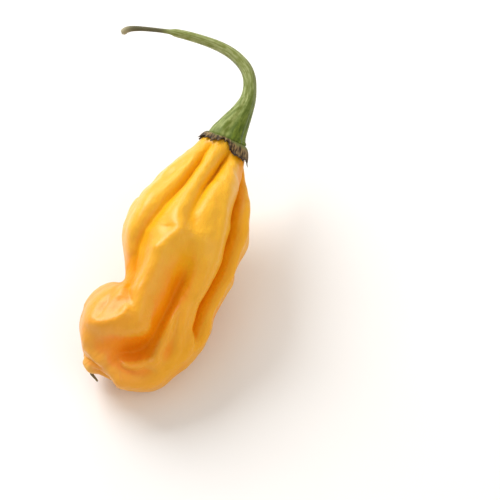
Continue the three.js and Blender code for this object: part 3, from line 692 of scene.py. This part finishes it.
def skin_finish():
    skin = Finish("pepper_skin", subsurface_weight=0.1, subsurface_scale=0.002,
                  subsurface_radius=(1.0, 0.35, 0.05), specular_ior_level=0.1, coat_roughness=0.33)
    hollow, crest = skin.mark("hollow"), skin.mark("crest")
    down, across, front = skin.mark("down"), skin.mark("across"), skin.mark("front")
    place = skin.place()
    mottle = skin.noise(place, scale=130.0)
    tint = skin.mix(skin.steps(down + 0.5 * mottle, 0.6, 1.1), SKIN["yellow"], SKIN["orange"])
    # Each zone of the skin: where it is, its strength and its colour
    # right marks the right flank: it carries painted shade in the colour and weakens the gloss
    right = skin.steps(across, 0.5, 0.85)
    # Painted shade: the lit lower left is painted a darker gold, which dims its bright facets
    painted_shade_lower_left = skin.steps(across, -0.15, -0.45) * skin.steps(down, 0.45, 0.6)
    not_left = 0.2 + 0.8 * skin.steps(across, -0.85, -0.3)
    # Painted shade: the hollows of the lower pod are painted a deep orange, less so on the far left
    lower_hollow_shade = skin.steps(hollow, -0.1, 1.2) * skin.steps(down, 0.3, 0.58) * skin.steps(down, 0.95, 0.88)
    zones = [
        # Painted shade: the right flank is tinted deeper orange
        (right, 0.8, "painted_shade_right"),
        # Painted highlight: the sharp crests are painted a paler cream
        (skin.steps(crest, 0.1, 0.8), 0.6, "crest"),
        # Painted shade on the lower left
        (painted_shade_lower_left, 0.5, "painted_shade_lower_left"),
        (skin.steps(down, 0.78, 0.9), 0.35, "blossom_end"),
        (skin.steps(down, 0.89, 1.0), 0.6, "nub"),
        # Painted shade: the sunken creases are painted a deeper orange
        (skin.steps(crest, -0.6, -2.2), 0.7, "valley"),
        # Painted shade in the lower hollows
        (lower_hollow_shade * not_left, 1.0, "hollow"),
    ]
    for zone, strength, colour in zones:
        tint = skin.mix(zone * strength, tint, SKIN[colour])
    # Fine relief, and a gloss that is stronger on the crests and weaker on the right
    pores = skin.noise(place, scale=1500.0, detail=2.0)
    wrinkles = skin.noise(skin.vector(across, front, down * 2.5), scale=9.0, detail=5.0)
    creases = skin.noise(place, scale=420.0, detail=4.0)
    relief = skin.bump(pores * 0.2 + wrinkles * 1.2 + creases * 0.6, strength=0.5, distance=0.0008)
    gloss = skin.steps(crest, -0.4, 0.3) * (0.55 - 0.35 * right)
    return skin.finished(base_color=tint, roughness=0.34 + 0.14 * mottle, coat_weight=gloss, normal=relief)


def stem_finish():
    stalk = Finish("green_stalk", specular_ior_level=0.22)
    down, across, front = stalk.mark("down"), stalk.mark("across"), stalk.mark("front")
    streaks = stalk.noise(stalk.vector(across * 3.0, front * 3.0, down * 14.0), scale=1.6, detail=5.0)
    mottle = stalk.noise(stalk.place(), scale=900.0)
    # left is painted shade: one side of the stalk is painted a deeper, darker green
    left, high = stalk.steps(across, 0.25, -0.35), stalk.steps(down, 0.1, 0.5)
    dark = stalk.mix(left, STALK["dark"], STALK["dark_shaded"])
    # high is painted light: further from the cup the stalk is painted paler, where its top catches the light
    dark = stalk.mix(high, dark, STALK["dark_upper_lit"])
    light = stalk.mix(left, STALK["light"], STALK["light_shaded"])
    light = stalk.mix(high, light, STALK["light_upper_lit"])
    green = stalk.mix(stalk.steps(streaks + 0.3 * mottle, 0.5, 0.95), dark, light)
    dry = stalk.mix(mottle, STALK["dry_dark"], STALK["dry_light"])
    dry = stalk.mix(stalk.steps(down, 0.93, 0.99), dry, STALK["dry_tip"])
    tint = stalk.mix(stalk.steps(down + 0.06 * mottle, 0.81, 0.86), green, dry)
    relief = stalk.bump(streaks + 0.4 * mottle, strength=0.5, distance=0.0003)
    return stalk.finished(base_color=tint, roughness=0.38 + 0.25 * mottle, normal=relief)


def rim_finish():
    rim = Finish("dry_calyx")
    down, across, front = rim.mark("down"), rim.mark("across"), rim.mark("front")
    streaks = rim.noise(rim.vector(across * 4.0, front * 4.0, down * 0.6), scale=3.0, detail=5.0)
    mottle = rim.noise(rim.place(), scale=700.0, detail=4.0)
    green = rim.mix(streaks, RIM["green_dark"], RIM["green_light"])
    brown = rim.mix(rim.steps(streaks, 0.42, 0.62), RIM["brown_dark"], RIM["brown_light"])
    tint = rim.mix(rim.steps(down + 0.3 * mottle, 0.2, 0.45), green, brown)
    tint = rim.mix(rim.steps(down + 0.7 * mottle, 1.0, 1.35), tint, RIM["edge"])
    relief = rim.bump(streaks + 0.6 * mottle, strength=0.8, distance=0.0005)
    return rim.finished(base_color=tint, roughness=0.65 + 0.3 * mottle, normal=relief)


def thread_finish():
    thread = Finish("dry_thread")
    mottle = thread.noise(thread.place(), scale=900.0, detail=4.0)
    tint = thread.mix(mottle, THREAD["dark"], THREAD["light"])
    relief = thread.bump(mottle, strength=0.6, distance=0.0003)
    return thread.finished(base_color=tint, roughness=0.7 + 0.2 * mottle, normal=relief)


def floor_finish():
    sheet = Finish("white_sheet", roughness=0.6)
    tint = sheet.mix(sheet.noise(sheet.place(), scale=40.0), SHEET["dark"], SHEET["light"])
    return sheet.finished(base_color=tint)


# Camera, light and floor
def aim(thing, place, target):
    """Puts a camera or a light at a place, turned to its target."""
    thing.location = place
    thing.rotation_euler = (target - place).to_track_quat("-Z", "Y").to_euler()
    bpy.context.scene.collection.objects.link(thing)
    return thing


def camera():
    view = bpy.data.cameras.new("view")
    view.lens = LENS
    view.sensor_width = SENSOR
    view.clip_end = FARTHEST
    right, up = VIEW_MIDDLE
    target = Vector((np.array([right, up * math.cos(LEAN), up * math.sin(LEAN)]) - REST) * MM)
    distance = PIXEL * MM * FRAME_PIXELS * LENS / SENSOR
    away = Vector((0, -math.cos(ELEVATION), math.sin(ELEVATION))) * distance
    bpy.context.scene.camera = aim(bpy.data.objects.new("view", view), target + away, target)


def studio():
    world = bpy.data.worlds.new("studio")
    world.use_nodes = True
    background = world.node_tree.nodes["Background"]
    background.inputs["Color"].default_value = (*WORLD_TINT, 1.0)
    background.inputs["Strength"].default_value = WORLD_LIGHT
    bpy.context.scene.world = world
    bpy.context.scene.view_settings.view_transform = "Standard"
    for name, place, watts, tint in LIGHTS:
        lamp = bpy.data.lights.new(name, "AREA")
        lamp.shape = "DISK"
        lamp.size = LIGHT_SIZE
        lamp.energy = watts
        lamp.color = tint
        aim(bpy.data.objects.new(name, lamp), Vector(place), Vector(LIGHT_TARGET))


def floor():
    bpy.ops.mesh.primitive_grid_add(x_subdivisions=FLOOR_GRID, y_subdivisions=FLOOR_GRID, size=FLOOR_SIZE,
                                    location=(0, 0, -FLOOR_DROP))
    sheet = bpy.context.object
    sheet.name = "floor"
    sheet.data.materials.append(floor_finish())


dress(pod(), "pod", skin_finish())
dress(stem(), "stem", stem_finish())
dress(collar(), "calyx_rim", rim_finish())
dress(style(), "style_remnant", thread_finish())
floor()
camera()
studio()
